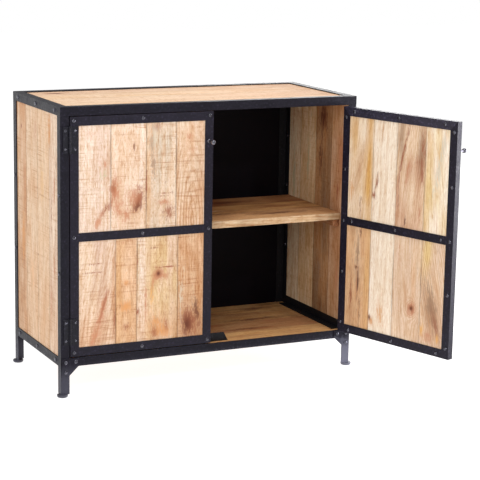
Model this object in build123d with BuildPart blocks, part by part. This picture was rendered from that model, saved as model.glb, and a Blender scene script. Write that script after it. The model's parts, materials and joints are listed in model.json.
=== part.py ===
from build123d import *
from math import cos, radians, sin
import os

# Two-door sideboard: a riveted angle-iron frame filled with solid boards, one
# shelf on wooden cleats, and two iron-framed board doors on butt hinges.
# Millimetres. X runs to the right, Y to the back, Z up. The origin is on the
# floor, under the middle of the cabinet's frame.

# Overall size of the frame
width = 900.0
depth = 400.0
height = 800.0

# Angle iron of the frame
iron_leg = 25.0
iron_wall = 3.0
iron_edge_radius = 0.8

# Legs and feet
leg_clearance = 85.0        # floor to the underside of the bottom rails
foot_radius = 15.0
foot_inset = 6.2            # leg's outer faces to the middle of its foot
foot_thickness = 8.0
foot_sole_rounding = 4.5
foot_top_rounding = 1.0

# Boards of the carcass
board_thickness = 20.0
board_joint = 0.4           # open joint between neighbouring boards
side_board_count = 4
top_board_count = 4
back_thickness = 6.0

# Shelf
shelf_top_height = 454.0
shelf_thickness = 20.0
shelf_front_gap = 15.0      # behind the shut doors
shelf_back_gap = 1.0        # in front of the back angle irons
shelf_side_gap = 0.5
shelf_board_count = 3
cleat_width = 20.0
cleat_height = 20.0
cleat_front_setback = 6.0   # cleat behind the shelf's front edge
cleat_back_setback = 15.0

# Inner angle irons and the stop that the doors close against
inner_iron_gap = 0.5
stop_plate_thickness = 2.0
stop_plate_top_length = 100.0
stop_plate_base_length = 126.0
stop_plate_rise = 25.0
stop_plate_foot = 18.0
stop_gap = 0.5              # stop plate behind the heads of the doors' rivets

# Corner gussets on the front
gusset_thickness = 3.0
gusset_margin = 2.0
gusset_reach = 50.0
gusset_drop = 49.0
gusset_toe = 21.0
gusset_stem = 21.0
gusset_rivet_inset = 10.0

# Rivets
rivet_radius = 5.5
rivet_height = 3.2
hinge_rivet_radius = 3.8
hinge_rivet_height = 2.0
side_rail_rivet_end = 45.0      # corner of the frame to the rail's first rivet
back_rail_rivet_end = 150.0
post_rivet_shares = (0.36, 0.67)      # of the height between the two rails
back_iron_rivet_shares = (0.28, 0.56, 0.79)

# Doors
door_hinge_gap = 2.5        # post to door
door_meeting_gap = 3.0      # door to door
door_end_gap = 2.0          # door to rail, above and below
door_panel_thickness = 15.0
channel_wall = 2.0
channel_leg = 25.0
channel_edge_radius = 0.8
panel_fit_gap = 0.5         # boards to the bottom of the channel
crossbar_width = 24.0
crossbar_height = 444.0     # middle of the crossbar above the floor
door_rivet_inset = 11.0
inner_rivet_end = 43.0      # door's side edge to the first rivet along a channel, inside
inner_stile_rivet_end = 30.0
inner_stile_rivet_count = 5
open_angle = {"left": 0.0, "right": 107.5}

# Joints between a door's boards, as shares of the width seen inside its frame,
# from the hinge side
panel_joint_shares = {
    ("left", "upper"): (0.25, 0.53, 0.77),
    ("left", "lower"): (0.29, 0.46, 0.79),
    ("right", "upper"): (0.25, 0.49, 0.77),
    ("right", "lower"): (0.25, 0.49, 0.77),
}

# Knobs
knob_drop = 83.0            # door's top edge down to the knob
knob_edge_distance = 12.5
knob_ball_radius = 7.0
knob_stem_radius = 3.0
knob_base_radius = 6.0
knob_base_height = 2.0
knob_ball_reach = 27.0      # door face to the middle of the ball

# Butt hinges
hinge_height = 72.0
hinge_top_inset = 62.0      # door's top edge to the middle of the hinge
hinge_bottom_inset = 71.5
knuckle_radius = 3.5
knuckle_lift = 0.3          # barrel clear of the door's and post's faces
knuckle_count = 5
knuckle_gap = 0.4
pin_radius = 1.6
pin_clearance = 0.05
pin_head_radius = 3.0
pin_head_height = 1.5
leaf_thickness = 2.0
leaf_clearance = 0.5
post_leaf_width = 18.75
door_leaf_width = 21.0
post_leaf_rivet_distance = 12.25
door_leaf_rivet_distance = 15.75
hinge_rivet_pitch = 50.0

# Places that follow from the sizes above
half_width = width / 2
half_depth = depth / 2
top_rail_bottom = height - iron_leg
bottom_rail_top = leg_clearance + iron_leg
inner_half_width = half_width - iron_wall - board_thickness
back_board_face = half_depth - iron_wall - back_thickness
side_board_bottom = leg_clearance + iron_wall
floor_top = side_board_bottom + board_thickness
top_board_top = height - iron_wall
top_board_bottom = top_board_top - board_thickness
front_board_edge = -half_depth + iron_wall

door_thickness = door_panel_thickness + 2 * channel_wall
door_width = half_width - iron_leg - door_hinge_gap - door_meeting_gap / 2
door_bottom = bottom_rail_top + door_end_gap
door_top = top_rail_bottom - door_end_gap
door_height = door_top - door_bottom
door_inner_face = -half_depth + door_thickness

shelf_front = door_inner_face + shelf_front_gap
shelf_back = back_board_face - iron_leg - shelf_back_gap
shelf_bottom = shelf_top_height - shelf_thickness

# Hinge axes, as distances from the cabinet's middle
axis_x = half_width - iron_leg - door_hinge_gap / 2
axis_y = -half_depth - knuckle_radius - knuckle_lift
hinge_heights = (door_bottom + hinge_bottom_inset, door_top - hinge_top_inset)

# Door coordinates: u from the hinge axis along the door, v from the axis inward
door_start = door_hinge_gap / 2
door_end = door_start + door_width
door_face = knuckle_radius + knuckle_lift
door_back = door_face + door_thickness
door_middle = door_face + door_thickness / 2

side_sign = {"left": -1, "right": 1}
across = Vector(1, 0, 0)
inward = Vector(0, 1, 0)
upward = Vector(0, 0, 1)

os.makedirs("parts", exist_ok=True)


def save(piece, name):
    """Label a finished piece and write it as its own node."""
    piece.part.label = name
    export_step(piece.part, f"parts/{name}.step")


# ---- Shared sections and small pieces --------------------------------------

# Angle iron: outer corner at the origin, legs along +X and +Y.
with BuildSketch() as angle_section:
    Polygon(
        (0, 0), (iron_leg, 0), (iron_leg, iron_wall),
        (iron_wall, iron_wall), (iron_wall, iron_leg), (0, iron_leg), align=None)
    fillet(angle_section.vertices().group_by(Axis.X)[-1], iron_edge_radius)
    fillet(angle_section.vertices().group_by(Axis.Y)[-1], iron_edge_radius)
    fillet(angle_section.vertices().sort_by_distance((0, 0))[0], iron_edge_radius)

# Door channel: web on the left at x = 0, open towards +X, centred on Y = 0.
with BuildSketch() as channel_section:
    Rectangle(channel_leg, door_thickness, align=(Align.MIN, Align.CENTER))
    fillet(channel_section.vertices().group_by(Axis.X)[0], channel_edge_radius)
    with Locations((channel_wall, 0)):
        Rectangle(channel_leg, door_panel_thickness, align=(Align.MIN, Align.CENTER),
                  mode=Mode.SUBTRACT)


def rivet_head(radius, rise):
    """A domed head: a cap of a ball that stands on Z = 0."""
    ball_radius = (radius**2 + rise**2) / (2 * rise)
    with BuildPart() as head:
        with BuildSketch(Plane.XZ):
            with BuildLine():
                RadiusArc((radius, 0), (0, rise), -ball_radius)
                Polyline((0, rise), (0, 0), (radius, 0))
            make_face()
        revolve(axis=Axis.Z)
    return head.part


frame_rivet = rivet_head(rivet_radius, rivet_height)
hinge_rivet = rivet_head(hinge_rivet_radius, hinge_rivet_height)


def straight_bar(section, start, length):
    """A bar of one section, extruded from a plane that looks along it."""
    with BuildPart() as bar:
        with BuildSketch(start):
            add(section.sketch)
        extrude(amount=length)
    return bar


def mitred_bar(section, start, length, leg):
    """A bar with both ends cut to 45 degrees, towards the side its legs point to."""
    with BuildPart() as bar:
        with BuildSketch(start):
            add(section.sketch)
        extrude(amount=length)
        with BuildSketch(Plane(start.origin, x_dir=start.z_dir, z_dir=start.y_dir)):
            Polygon((0, 0), (leg, leg), (0, leg), align=None)
            Polygon((length, 0), (length, leg), (length - leg, leg), align=None)
        extrude(amount=leg, both=True, mode=Mode.SUBTRACT)
    return bar


def board_set(boxes, plan=Plane.XY):
    """Flat boards or strips, each between two opposite corners in a plan's coordinates."""
    with BuildPart() as boards:
        for (x0, y0, z0), (x1, y1, z1) in boxes:
            with BuildSketch(plan.offset(z0)):
                with Locations(((x0 + x1) / 2, (y0 + y1) / 2)):
                    Rectangle(abs(x1 - x0), abs(y1 - y0))
            extrude(amount=z1 - z0)
    return boards


def board_edges(start, end, count):
    """Split a width into equal boards with an open joint between them."""
    pitch = (end - start + board_joint) / count
    return [(start + i * pitch, start + (i + 1) * pitch - board_joint) for i in range(count)]


# ---- Iron frame ------------------------------------------------------------

# The four sides of the frame, anticlockwise from the front: the corner where
# each starts, the direction it runs in, the way inward, and its full length.
frame_sides = {
    "front": (Vector(-half_width, -half_depth), across, inward, width),
    "right": (Vector(half_width, -half_depth), inward, -across, depth),
    "back": (Vector(half_width, half_depth), -across, -inward, width),
    "left": (Vector(-half_width, half_depth), -inward, across, depth),
}
corner_names = {
    "front": "front_left",
    "right": "front_right",
    "back": "back_right",
    "left": "back_left",
}

for side, (corner, along, to_inside, length) in frame_sides.items():
    corner_name = corner_names[side]

    # Post: an angle iron that runs down into the leg
    post_start = Plane(corner + upward * foot_thickness, x_dir=along, z_dir=upward)
    post = straight_bar(angle_section, post_start, top_rail_bottom - foot_thickness)
    save(post, f"{corner_name}_post")

    # Foot: a round glide with a domed sole, under the leg's outer corner
    with BuildPart() as foot:
        with BuildSketch(Plane(corner + (along + to_inside) * foot_inset)):
            Circle(foot_radius)
        extrude(amount=foot_thickness)
        fillet(foot.edges().group_by(Axis.Z)[0], foot_sole_rounding)
        fillet(foot.edges().group_by(Axis.Z)[-1], foot_top_rounding)
    save(foot, f"{corner_name}_foot")

    # Top rail: one leg hangs down outside, the other lies over the boards
    far_corner = corner + along * length + upward * height
    top_start = Plane(far_corner, x_dir=to_inside, z_dir=-along)
    save(mitred_bar(angle_section, top_start, length, iron_leg), f"top_{side}_rail")

    # Bottom rail: fits between two posts, and carries the boards
    rail_start = corner + along * iron_leg + upward * leg_clearance
    bottom_start = Plane(rail_start, x_dir=to_inside, z_dir=along)
    bottom_rail = straight_bar(angle_section, bottom_start, length - 2 * iron_leg)
    save(bottom_rail, f"bottom_{side}_rail")


# ---- Boards of the carcass ---------------------------------------------------

side_joints = board_edges(front_board_edge, back_board_face, side_board_count)
top_joints = board_edges(front_board_edge, back_board_face, top_board_count)

for side, sign in side_sign.items():
    outer = sign * (half_width - iron_wall)
    inner = sign * inner_half_width
    side_boards = board_set([
        ((outer, near, side_board_bottom), (inner, far, top_board_bottom))
        for near, far in side_joints])
    save(side_boards, f"{side}_side_boards")

board_half_length = half_width - iron_wall
top_boards = board_set([
    ((-board_half_length, near, top_board_bottom), (board_half_length, far, top_board_top))
    for near, far in top_joints])
save(top_boards, "top_boards")

floor_boards = board_set([
    ((-inner_half_width, near, side_board_bottom), (inner_half_width, far, floor_top))
    for near, far in top_joints])
save(floor_boards, "floor_boards")

back_panel = board_set([
    ((-board_half_length, back_board_face, side_board_bottom),
     (board_half_length, half_depth - iron_wall, top_board_top))])
save(back_panel, "back_panel")


# ---- Shelf and its cleats ------------------------------------------------------

shelf_half_length = inner_half_width - shelf_side_gap
shelf_boards = board_set([
    ((-shelf_half_length, near, shelf_bottom), (shelf_half_length, far, shelf_top_height))
    for near, far in board_edges(shelf_front, shelf_back, shelf_board_count)])
save(shelf_boards, "shelf_boards")

cleat_front = shelf_front + cleat_front_setback
cleat_back = shelf_back - cleat_back_setback
for side, sign in side_sign.items():
    cleat = board_set([
        ((sign * inner_half_width, cleat_front, shelf_bottom - cleat_height),
         (sign * (inner_half_width - cleat_width), cleat_back, shelf_bottom))])
    save(cleat, f"{side}_shelf_cleat")


# ---- Inner angle irons and the door stop ---------------------------------------

floor_iron_end = back_board_face - iron_leg - inner_iron_gap
floor_iron_start = door_inner_face + rivet_height + inner_iron_gap
floor_iron_length = floor_iron_end - floor_iron_start

# The angle section lies with its corner in the corner of the cabinet, so the
# left irons start at one end and the right irons at the other.
left_start = Plane((-inner_half_width, floor_iron_end, floor_top), x_dir=across, z_dir=-inward)
save(straight_bar(angle_section, left_start, floor_iron_length), "left_floor_iron")

right_start = Plane((inner_half_width, floor_iron_start, floor_top), x_dir=-across, z_dir=inward)
save(straight_bar(angle_section, right_start, floor_iron_length), "right_floor_iron")

back_iron_length = top_board_bottom - floor_top
back_iron_directions = {"left": -inward, "right": -across}
for side, sign in side_sign.items():
    back_corner = (sign * inner_half_width, back_board_face, floor_top)
    back_start = Plane(back_corner, x_dir=back_iron_directions[side], z_dir=upward)
    save(straight_bar(angle_section, back_start, back_iron_length), f"{side}_back_iron")

# Door stop: a bent plate with sloping ends, behind the two meeting stiles
stop_face = door_inner_face + rivet_height + stop_gap
with BuildPart() as door_stop:
    with BuildSketch(Plane.XZ.offset(-stop_face)):
        Polygon(
            (-stop_plate_base_length / 2, floor_top),
            (stop_plate_base_length / 2, floor_top),
            (stop_plate_top_length / 2, floor_top + stop_plate_rise),
            (-stop_plate_top_length / 2, floor_top + stop_plate_rise), align=None)
    extrude(amount=-stop_plate_thickness)
    with BuildSketch(Plane.XY.offset(floor_top)):
        with Locations((0, stop_face)):
            Rectangle(stop_plate_base_length, stop_plate_foot, align=(Align.CENTER, Align.MIN))
    extrude(amount=stop_plate_thickness)
save(door_stop, "door_stop")


# ---- Gussets and rivets of the frame ---------------------------------------------

gusset_top = bottom_rail_top - gusset_margin / 2
gusset_bottom = gusset_top - gusset_drop
gusset_rivet_row = gusset_top - gusset_toe / 2
gusset_rivet_low = gusset_bottom + gusset_rivet_inset
gusset_outer_rivet = gusset_margin + gusset_rivet_inset + 1.0
gusset_inner_rivet = gusset_margin + gusset_reach - gusset_rivet_inset

for side, sign in side_sign.items():
    outer = sign * (half_width - gusset_margin)
    stem = outer - sign * gusset_stem
    tip = outer - sign * gusset_reach
    with BuildPart() as gusset:
        with BuildSketch(Plane.XZ.offset(half_depth)):
            Polygon(
                (outer, gusset_bottom), (outer, gusset_top), (tip, gusset_top),
                (tip, gusset_top - gusset_toe), (stem, gusset_bottom), align=None)
        extrude(amount=gusset_thickness)
    save(gusset, f"front_{side}_gusset")

rail_middle_low = leg_clearance + iron_leg / 2
rail_middle_high = height - iron_leg / 2
post_rivet_heights = [
    rail_middle_low + share * (rail_middle_high - rail_middle_low)
    for share in post_rivet_shares]
back_iron_rivet_heights = [
    floor_top + share * back_iron_length for share in back_iron_rivet_shares]
post_middle_x = half_width - iron_leg / 2
post_middle_y = half_depth - iron_leg / 2
side_rail_rivet_y = half_depth - side_rail_rivet_end
back_rail_rivet_x = half_width - back_rail_rivet_end


def head_at(x, y, z, facing):
    """The place of a rivet head on a face that looks along facing."""
    return Plane((x, y, z), z_dir=facing).location


frame_rivet_places = []
for sign in side_sign.values():
    out = across * sign
    for y in (-post_middle_y, post_middle_y):
        for z in post_rivet_heights:
            frame_rivet_places.append(head_at(sign * half_width, y, z, out))
    for y in (-side_rail_rivet_y, 0, side_rail_rivet_y):
        for z in (rail_middle_low, rail_middle_high):
            frame_rivet_places.append(head_at(sign * half_width, y, z, out))
    for z in post_rivet_heights:
        frame_rivet_places.append(head_at(sign * post_middle_x, half_depth, z, inward))
    for z in back_iron_rivet_heights:
        inner_face = sign * (inner_half_width - iron_wall)
        y = back_board_face - iron_leg / 2 - iron_wall / 2
        frame_rivet_places.append(head_at(inner_face, y, z, -out))
    for edge_distance, z in (
            (gusset_outer_rivet, gusset_rivet_row),
            (gusset_inner_rivet, gusset_rivet_row),
            (gusset_outer_rivet, gusset_rivet_low)):
        x = sign * (half_width - edge_distance)
        frame_rivet_places.append(head_at(x, -half_depth - gusset_thickness, z, -inward))
for x in (-back_rail_rivet_x, 0, back_rail_rivet_x):
    for z in (rail_middle_low, rail_middle_high):
        frame_rivet_places.append(head_at(x, half_depth, z, inward))

with BuildPart() as frame_rivets:
    with Locations(*frame_rivet_places):
        add(frame_rivet)
save(frame_rivets, "frame_rivets")


# ---- Hinges ------------------------------------------------------------------------

knuckle_length = (hinge_height - (knuckle_count - 1) * knuckle_gap) / knuckle_count
knuckle_pitch = knuckle_length + knuckle_gap
tab_reach = knuckle_radius + leaf_clearance


def swing_plane(side, angle):
    """Plan of one side's hinge: local X runs away from the axis, opened by angle."""
    sign = side_sign[side]
    turn = radians(sign * angle)
    run = Vector(-sign * cos(turn), -sign * sin(turn))
    return Plane((sign * axis_x, axis_y, 0), x_dir=run, z_dir=upward)


def hinge_leaves(plan, into, leaf_width, knuckles):
    """Two leaves, upper and lower, with their knuckles rolled around the pin.

    plan looks down the pin, its X runs along the leaf, and into is the sign
    of its Y that points into the cabinet. A leaf lies against the door's or
    the post's face, and knuckles lists the turns of the barrel that it owns.
    """
    back = into * door_face
    front = into * (door_face - leaf_thickness)
    with BuildPart() as leaves:
        for middle in hinge_heights:
            low = middle - hinge_height / 2
            with BuildSketch(plan.offset(low)):
                Polygon((tab_reach, back), (leaf_width, back), (leaf_width, front),
                        (tab_reach, front), align=None)
            extrude(amount=hinge_height)
            for knuckle in knuckles:
                with BuildSketch(plan.offset(low + knuckle * knuckle_pitch)):
                    Polygon((0, back), (tab_reach, back), (tab_reach, front), (0, front),
                            align=None)
                    Circle(knuckle_radius)
                extrude(amount=knuckle_length)
            with BuildSketch(plan.offset(low)):
                Circle(pin_radius + pin_clearance)
            extrude(amount=hinge_height, mode=Mode.SUBTRACT)
    return leaves


post_knuckles = range(0, knuckle_count, 2)
door_knuckles = range(1, knuckle_count, 2)
hinge_rivet_heights = [
    middle + shift for middle in hinge_heights
    for shift in (-hinge_rivet_pitch / 2, hinge_rivet_pitch / 2)]

for side, sign in side_sign.items():
    # The post's leaf runs the other way from the door, towards the post
    post_plan = Plane((sign * axis_x, axis_y, 0), x_dir=across * sign, z_dir=upward)
    post_leaves = hinge_leaves(post_plan, sign, post_leaf_width, post_knuckles)
    save(post_leaves, f"{side}_post_leaves")

    with BuildPart() as hinge_pins:
        for middle in hinge_heights:
            low = middle - hinge_height / 2
            with BuildSketch(post_plan.offset(low)):
                Circle(pin_radius)
            extrude(amount=hinge_height)
            with BuildSketch(post_plan.offset(low - pin_head_height)):
                Circle(pin_head_radius)
            extrude(amount=pin_head_height)
            with BuildSketch(post_plan.offset(low + hinge_height)):
                Circle(pin_head_radius)
            extrude(amount=pin_head_height)
    save(hinge_pins, f"{side}_hinge_pins")

with BuildPart() as hinge_post_rivets:
    leaf_face = -half_depth - leaf_thickness
    with Locations(*[
            head_at(sign * (axis_x + post_leaf_rivet_distance), leaf_face, z, -inward)
            for sign in side_sign.values() for z in hinge_rivet_heights]):
        add(hinge_rivet)
save(hinge_post_rivets, "hinge_post_rivets")


# ---- Doors ----------------------------------------------------------------------------

for side, sign in side_sign.items():
    plan = swing_plane(side, open_angle[side])
    run = plan.x_dir
    # Into the cabinet when the door is shut
    into = plan.y_dir * -sign
    axis_point = plan.origin

    def door_point(u, v, z):
        """A point of the door: u from the axis, v inward from it, z above the floor."""
        return axis_point + run * u + into * v + upward * z

    def door_box(u0, u1, v0, v1, z0, z1):
        """The corners, in the hinge's plan, of a flat strip or board of this door."""
        return (u0, -sign * v0, z0), (u1, -sign * v1, z1)

    # Four channels, mitred at the corners of the door
    channels = {
        "bottom_channel": (door_start, door_bottom, run, upward, door_width),
        "meeting_stile": (door_end, door_bottom, upward, -run, door_height),
        "top_channel": (door_end, door_top, -run, -upward, door_width),
        "hinge_stile": (door_start, door_top, -upward, run, door_height),
    }
    for name, (u, z, along, to_inside, length) in channels.items():
        start = Plane(door_point(u, door_middle, z), x_dir=to_inside, z_dir=along)
        channel = mitred_bar(channel_section, start, length, channel_leg)
        save(channel, f"{side}_door_{name}")

    # Crossbar: a flat strip on each face of the boards
    sight_start = door_start + channel_leg
    sight_end = door_end - channel_leg
    panel_face = door_face + channel_wall
    panel_back = panel_face + door_panel_thickness
    bar_bottom = crossbar_height - crossbar_width / 2
    bar_top = crossbar_height + crossbar_width / 2
    crossbar = board_set([
        door_box(sight_start, sight_end, door_face, panel_face, bar_bottom, bar_top),
        door_box(sight_start, sight_end, panel_back, door_back, bar_bottom, bar_top)], plan)
    save(crossbar, f"{side}_door_crossbar")

    # Boards: two sets that meet behind the crossbar
    panel_start = door_start + channel_wall + panel_fit_gap
    panel_end = door_end - channel_wall - panel_fit_gap
    panel_rows = {
        "upper": (crossbar_height + board_joint / 2, door_top - channel_wall - panel_fit_gap),
        "lower": (door_bottom + channel_wall + panel_fit_gap, crossbar_height - board_joint / 2),
    }
    for row, (low, high) in panel_rows.items():
        sight_width = sight_end - sight_start
        joints = [sight_start + share * sight_width for share in panel_joint_shares[side, row]]
        starts = [panel_start] + [joint + board_joint / 2 for joint in joints]
        ends = [joint - board_joint / 2 for joint in joints] + [panel_end]
        door_boards = board_set([
            door_box(board_start, board_end, panel_face, panel_back, low, high)
            for board_start, board_end in zip(starts, ends)], plan)
        save(door_boards, f"{side}_door_{row}_boards")

    # Rivets of the outer face: the corners and the middles
    stile_us = (door_start + door_rivet_inset, door_end - door_rivet_inset)
    middle_u = (door_start + door_end) / 2
    row_zs = (door_bottom + door_rivet_inset, crossbar_height, door_top - door_rivet_inset)
    outer_rivets = [(u, z) for u in (stile_us[0], middle_u, stile_us[1]) for z in row_zs]

    # Rivets of the inner face: three along each row, and more down the stiles
    row_us = (door_start + inner_rivet_end, middle_u, door_end - inner_rivet_end)
    stile_rivet_pitch = ((door_height - 2 * inner_stile_rivet_end)
                         / (inner_stile_rivet_count - 1))
    stile_zs = [door_bottom + inner_stile_rivet_end + i * stile_rivet_pitch
                for i in range(inner_stile_rivet_count)]
    inner_rivets = [(u, z) for u in row_us for z in row_zs]
    inner_rivets += [(u, z) for u in stile_us for z in stile_zs]

    with BuildPart() as door_rivets:
        for v, facing, places in (
                (door_face, -into, outer_rivets), (door_back, into, inner_rivets)):
            with Locations(*[
                    Plane(door_point(u, v, z), z_dir=facing).location for u, z in places]):
                add(frame_rivet)
        with Locations(*[
                Plane(door_point(door_leaf_rivet_distance, door_face - leaf_thickness, z),
                      z_dir=-into).location
                for z in hinge_rivet_heights]):
            add(hinge_rivet)
    save(door_rivets, f"{side}_door_rivets")

    door_leaves = hinge_leaves(plan, -sign, door_leaf_width, door_knuckles)
    save(door_leaves, f"{side}_door_leaves")

    # Knob: a ball on a stem with a small base
    with BuildPart() as knob:
        knob_foot = door_point(door_end - knob_edge_distance, door_face, door_top - knob_drop)
        knob_axis = Plane(knob_foot, z_dir=-into)
        with BuildSketch(knob_axis):
            Circle(knob_base_radius)
        extrude(amount=knob_base_height)
        with BuildSketch(knob_axis):
            Circle(knob_stem_radius)
        extrude(amount=knob_ball_reach)
        with Locations(knob_axis.offset(knob_ball_reach).location):
            Sphere(knob_ball_radius)
    save(knob, f"{side}_door_knob")
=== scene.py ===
"""Looks of a two-door sideboard: sawn boards in a blackened angle-iron frame."""
import json
import math

import bpy
import numpy as np
from mathutils import Matrix, Vector


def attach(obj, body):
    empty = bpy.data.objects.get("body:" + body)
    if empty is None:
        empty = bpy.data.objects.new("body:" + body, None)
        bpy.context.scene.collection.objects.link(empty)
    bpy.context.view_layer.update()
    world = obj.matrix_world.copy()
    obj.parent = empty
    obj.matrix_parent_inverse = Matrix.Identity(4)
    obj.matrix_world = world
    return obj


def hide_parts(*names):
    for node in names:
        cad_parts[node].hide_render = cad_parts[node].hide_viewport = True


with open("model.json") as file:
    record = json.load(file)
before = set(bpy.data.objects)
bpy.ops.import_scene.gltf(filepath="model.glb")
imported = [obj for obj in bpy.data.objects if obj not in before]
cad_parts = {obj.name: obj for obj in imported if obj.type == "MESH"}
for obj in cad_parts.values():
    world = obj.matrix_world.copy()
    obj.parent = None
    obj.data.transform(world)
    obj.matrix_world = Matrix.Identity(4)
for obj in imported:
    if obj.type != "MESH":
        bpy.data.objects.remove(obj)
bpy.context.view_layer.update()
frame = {"nodes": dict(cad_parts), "record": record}

MM = 0.001
TURN = 2 * math.pi
UP = np.array((0.0, 0.0, 1.0))
RIGHT = np.array((1.0, 0.0, 0.0))
BACK = np.array((0.0, 1.0, 0.0))
SIDES = ("left", "right")


# ---- Colours ----

def srgb(red, green, blue):
    """A colour given as screen values from 0 to 255, turned into light values."""
    screen = np.array((red, green, blue)) / 255
    return np.where(screen <= 0.04045, screen / 12.92, ((screen + 0.055) / 1.055) ** 2.4)


TONES = {
    "milk": srgb(245, 225, 203),
    "cream": srgb(239, 213, 184),
    "pale": srgb(234, 204, 174),
    "peach": srgb(233, 195, 157),
    "apricot": srgb(226, 181, 139),
    "golden": srgb(222, 180, 130),
    "honey": srgb(216, 164, 96),
    "yellow": srgb(228, 196, 140),
    "orange": srgb(206, 146, 92),
    "tan": srgb(194, 150, 112),
    "pink": srgb(214, 180, 156),
    "rose": srgb(186, 126, 92),
    "brown": srgb(146, 84, 56),
    "umber": srgb(92, 46, 30),
    "ash": srgb(202, 188, 166),
    "moss": srgb(184, 172, 138),
    "walnut": srgb(152, 120, 94),
    "pitch": srgb(40, 24, 18),
}


# ---- Noise and mesh helpers ----

def smooth_noise(u, v, seed):
    """Smooth values from -1 to 1: random heights on a unit grid, eased by 3t^2 - 2t^3."""
    size = 64
    table = np.random.default_rng(seed).uniform(-1, 1, (size, size))
    iu, iv = np.floor(u).astype(int), np.floor(v).astype(int)
    fu, fv = u - iu, v - iv
    fu, fv = fu * fu * (3 - 2 * fu), fv * fv * (3 - 2 * fv)
    low = table[iu % size, iv % size] * (1 - fu) + table[(iu + 1) % size, iv % size] * fu
    high = (table[iu % size, (iv + 1) % size] * (1 - fu)
            + table[(iu + 1) % size, (iv + 1) % size] * fu)
    return low * (1 - fv) + high * fv


def mesh_piece(name, points, faces, material, smooth=True):
    """A mesh object at the origin, from an array of points and a list of faces."""
    mesh = bpy.data.meshes.new(name)
    mesh.from_pydata(points, [], faces)
    mesh.polygons.foreach_set("use_smooth", [smooth] * len(mesh.polygons))
    mesh.materials.append(material)
    mesh.update()
    piece = bpy.data.objects.new(name, mesh)
    bpy.context.collection.objects.link(piece)
    return piece


def add_attribute(piece, name, values, kind="FLOAT_VECTOR"):
    """Store one vector or colour per vertex, for the material to read."""
    field = "color" if kind == "FLOAT_COLOR" else "vector"
    attribute = piece.data.attributes.new(name, kind, "POINT")
    attribute.data.foreach_set(field, np.ascontiguousarray(values, dtype=np.float32).ravel())


def tube_faces(rings, per_ring):
    """Quads between neighbouring closed rings of points, numbered ring by ring."""
    ring, spot = np.meshgrid(np.arange(rings - 1), np.arange(per_ring), indexing="ij")
    following = (spot + 1) % per_ring
    quads = np.stack((ring * per_ring + spot, ring * per_ring + following,
                      (ring + 1) * per_ring + following, (ring + 1) * per_ring + spot), axis=-1)
    return quads.reshape(-1, 4).tolist()


def node_points(node):
    """The vertices of a CAD node, in metres."""
    mesh = frame["nodes"][node].data
    points = np.empty(len(mesh.vertices) * 3)
    mesh.vertices.foreach_get("co", points)
    return points.reshape(-1, 3)


def node_solids(node):
    """The vertices of each separate solid of a CAD node.

    Vertices at one place are merged, then every face passes the lowest label
    of its corners to all of them until no label changes.
    """
    mesh = frame["nodes"][node].data
    mesh.calc_loop_triangles()
    corners = np.empty(len(mesh.loop_triangles) * 3, dtype=int)
    mesh.loop_triangles.foreach_get("vertices", corners)
    places, same = np.unique(np.round(node_points(node), 6), axis=0, return_inverse=True)
    triangles = same.ravel()[corners].reshape(-1, 3)
    labels = np.arange(len(places))
    changed = True
    while changed:
        lowest = labels[triangles].min(axis=1)
        updated = labels.copy()
        for column in range(3):
            np.minimum.at(updated, triangles[:, column], lowest)
        updated = updated[updated]
        changed = not np.array_equal(updated, labels)
        labels = updated
    return [places[labels == label] for label in np.unique(labels)]


# ---- Doors: where they hang and which way they face ----

def door_axes(side):
    """Hinge point, direction along the door, and direction into the shut cabinet.

    The shut door is the joint's lower limit, so at rest it is open by that much.
    """
    joint = next(j for j in frame["record"]["behaviour"]["joints"]
                 if j["child"] == f"{side}_door")
    sign = -1 if side == "left" else 1
    turn = -sign * math.radians(joint["range_deg"][0])
    run = np.array((-sign * math.cos(turn), -sign * math.sin(turn), 0.0))
    into = np.array((-math.sin(turn), math.cos(turn), 0.0))
    return np.array(joint["pos_m"]) * (1, 1, 0), run, into


# ---- Boards ----

EDGE_RADIUS = 1.1 * MM      # eased long edges of a board
ALONG_STEP = 4.0 * MM       # spacing of the grid along a board
ACROSS_STEP = 2.8 * MM
CUP = 0.22 * MM             # how far a board's long edges lie below its middle
WAVINESS = 0.12 * MM        # hollows of the sawn faces
SOFT_EDGE = 4 * MM          # width over which the hollows fade out at a board's edges
DARK_EDGE = 1.6 * MM        # width of the darkening along a board's edges, which draws the joints as dark lines
WANDER = 7 * MM             # how far growth rings stray from true circles
RING_SPACING = 8.5 * MM     # from one growth ring to the next

# How far the boards of a door run into the iron: at each side, above and below
HIDDEN = {
    "upper_boards": (22.5 * MM, 22.5 * MM, 11.8 * MM),
    "lower_boards": (22.5 * MM, 11.8 * MM, 22.5 * MM),
}


def board_ring(width, thickness):
    """Outline of a board's end: a rectangle with round corners, anticlockwise.

    Returns the places across and through the board, and which way is outward
    on the two wide faces: -1 at the near face, 1 at the far face, 0 elsewhere.
    """
    r = EDGE_RADIUS
    count = max(3, round((width - 2 * r) / ACROSS_STEP))
    flat = np.linspace(r, width - r, count + 1)
    bend = np.linspace(0, math.pi / 2, 4)[1:-1]
    across = np.concatenate((
        flat, width - r + r * np.sin(bend), [width, width],
        width - r + r * np.cos(bend), flat[::-1],
        r - r * np.sin(bend), [0, 0], r - r * np.cos(bend)))
    through = np.concatenate((
        np.zeros(count + 1), r - r * np.cos(bend), [r, thickness - r],
        thickness - r + r * np.sin(bend), np.full(count + 1, thickness),
        thickness - r + r * np.cos(bend), [thickness - r, r], r - r * np.sin(bend)))
    outward = np.where(through == 0, -1.0, np.where(through == thickness, 1.0, 0.0))
    return across, through, outward


def near_spot(along, across, feature):
    """Squared distance from a feature's middle, in units of its half sizes.

    A positive lean turns the feature's lower end towards the board's near edge.
    """
    lean = math.radians(feature["lean"])
    down = along - feature["down"]
    over = across - feature["over"]
    length_way = down * math.cos(lean) - over * math.sin(lean)
    width_way = down * math.sin(lean) + over * math.cos(lean)
    return (length_way / feature["length"]) ** 2 + (width_way / feature["width"]) ** 2


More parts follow.
